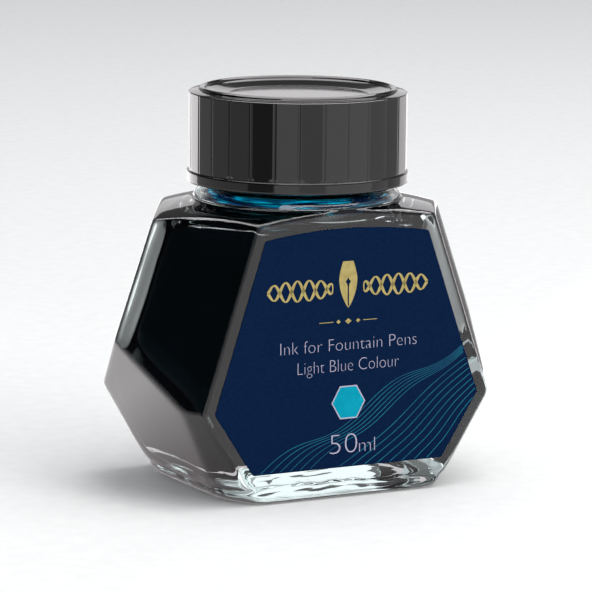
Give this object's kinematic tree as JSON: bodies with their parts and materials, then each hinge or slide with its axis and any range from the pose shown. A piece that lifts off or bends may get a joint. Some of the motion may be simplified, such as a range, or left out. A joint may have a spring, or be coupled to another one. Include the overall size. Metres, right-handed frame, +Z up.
{
  "type": "ink bottle",
  "caption": "Faceted clear-glass ink bottle with a screw cap, sealing wad, front label and ink filling; it stands upright or leans on an end facet.",
  "frame": {"origin": "on the table, under the middle of the bottle's base", "axes": "+X along the bottle's long side, -Y out of the label, +Z up the neck"},
  "size_m": [0.07, 0.039, 0.0688],
  "materials": {
    "clear_glass": "polished clear pressed glass",
    "ink": "dark blue-green liquid",
    "cap_plastic": "polished black",
    "liner_foam": "matt closed-cell foam",
    "label_paper": "matt coated navy"
  },
  "bodies": {
    "bottle": {"glass_bottle": "clear_glass", "ink": "ink", "front_label": "label_paper"},
    "wad": {"cap_liner": "liner_foam"},
    "cap": {"cap": "cap_plastic"}
  },
  "joints": [
    {"name": "cap_rise", "type": "slide", "parent": "bottle", "child": "wad", "axis": [0, 0, 1], "range_m": [0, 0.01271]},
    {"name": "cap_turn", "type": "hinge", "parent": "wad", "child": "cap", "pos_m": [0, 0, 0.06], "axis": [0, 0, 1], "range_deg": [0, 1080]}
  ],
  "couplings": [
    {"joint": "cap_rise", "follows": "cap_turn", "m_per_rad": 0.00067376}
  ]
}
